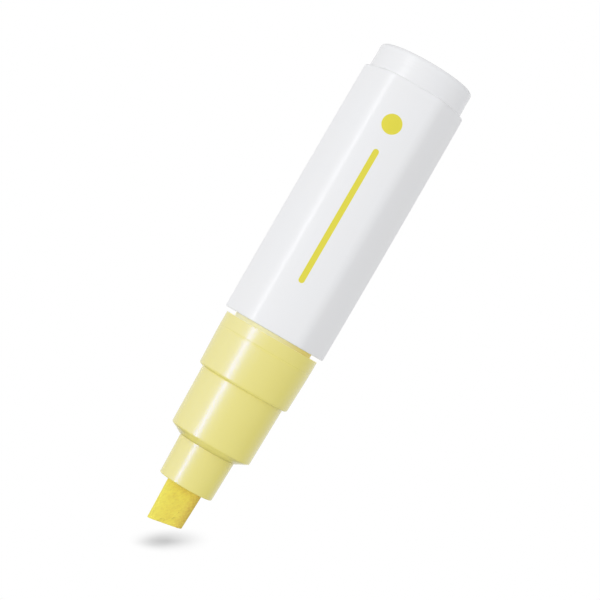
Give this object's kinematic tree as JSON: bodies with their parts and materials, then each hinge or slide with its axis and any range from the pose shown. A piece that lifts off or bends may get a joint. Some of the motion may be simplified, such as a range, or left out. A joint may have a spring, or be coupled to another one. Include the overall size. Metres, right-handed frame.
{
  "type": "paint marker",
  "caption": "Paint marker with a rounded hexagonal barrel, a stepped round front housing and a broad slanted fibre nib that presses in to open a sprung valve.",
  "frame": {"origin": "centre of the flat tail end, on which the marker stands", "axes": "+Z along the marker's axis from the tail to the nib; -Y out of one crowned face of the barrel, which is also the wide face of the nib; +X towards the longer corner of the nib"},
  "size_m": [0.0252, 0.0234, 0.1171],
  "materials": {
    "white_plastic": "semi-gloss moulded white plastic",
    "yellow_plastic": "semi-gloss moulded pale yellow plastic",
    "nib_felt": "dense fibre felt soaked with yellow paint",
    "natural_plastic": "uncoloured moulded plastic",
    "seal_rubber": "soft black rubber",
    "steel": "bright stainless steel"
  },
  "bodies": {
    "casing": {"tail_plug": "white_plastic", "barrel": "white_plastic", "front_housing": "yellow_plastic", "nib_holder": "yellow_plastic", "valve_body": "natural_plastic", "spring_cage": "natural_plastic", "return_spring": "steel"},
    "nib": {"nib": "nib_felt"},
    "valve": {"valve_stem": "natural_plastic", "valve_seal": "seal_rubber"},
    "ball_1": {"mixing_ball_1": "steel"},
    "ball_2": {"mixing_ball_2": "steel"}
  },
  "joints": [
    {"name": "nib_press", "type": "slide", "parent": "casing", "child": "nib", "axis": [0, 0, -1], "range_m": [0, 0.002], "stiffness_N_per_m": 500, "springref_m": -0.002},
    {"name": "valve_lift", "type": "slide", "parent": "casing", "child": "valve", "axis": [0, 0, -1], "range_m": [0, 0.002], "deforming": ["return_spring"]},
    {"name": "ball_1_shake", "type": "slide", "parent": "casing", "child": "ball_1", "axis": [0, 0, 1], "range_m": [0, 0.0538]},
    {"name": "ball_2_shake", "type": "slide", "parent": "casing", "child": "ball_2", "axis": [0, 0, 1], "range_m": [0, 0.0538]}
  ],
  "couplings": [
    {"joint": "valve_lift", "follows": "nib_press", "ratio": 1}
  ]
}
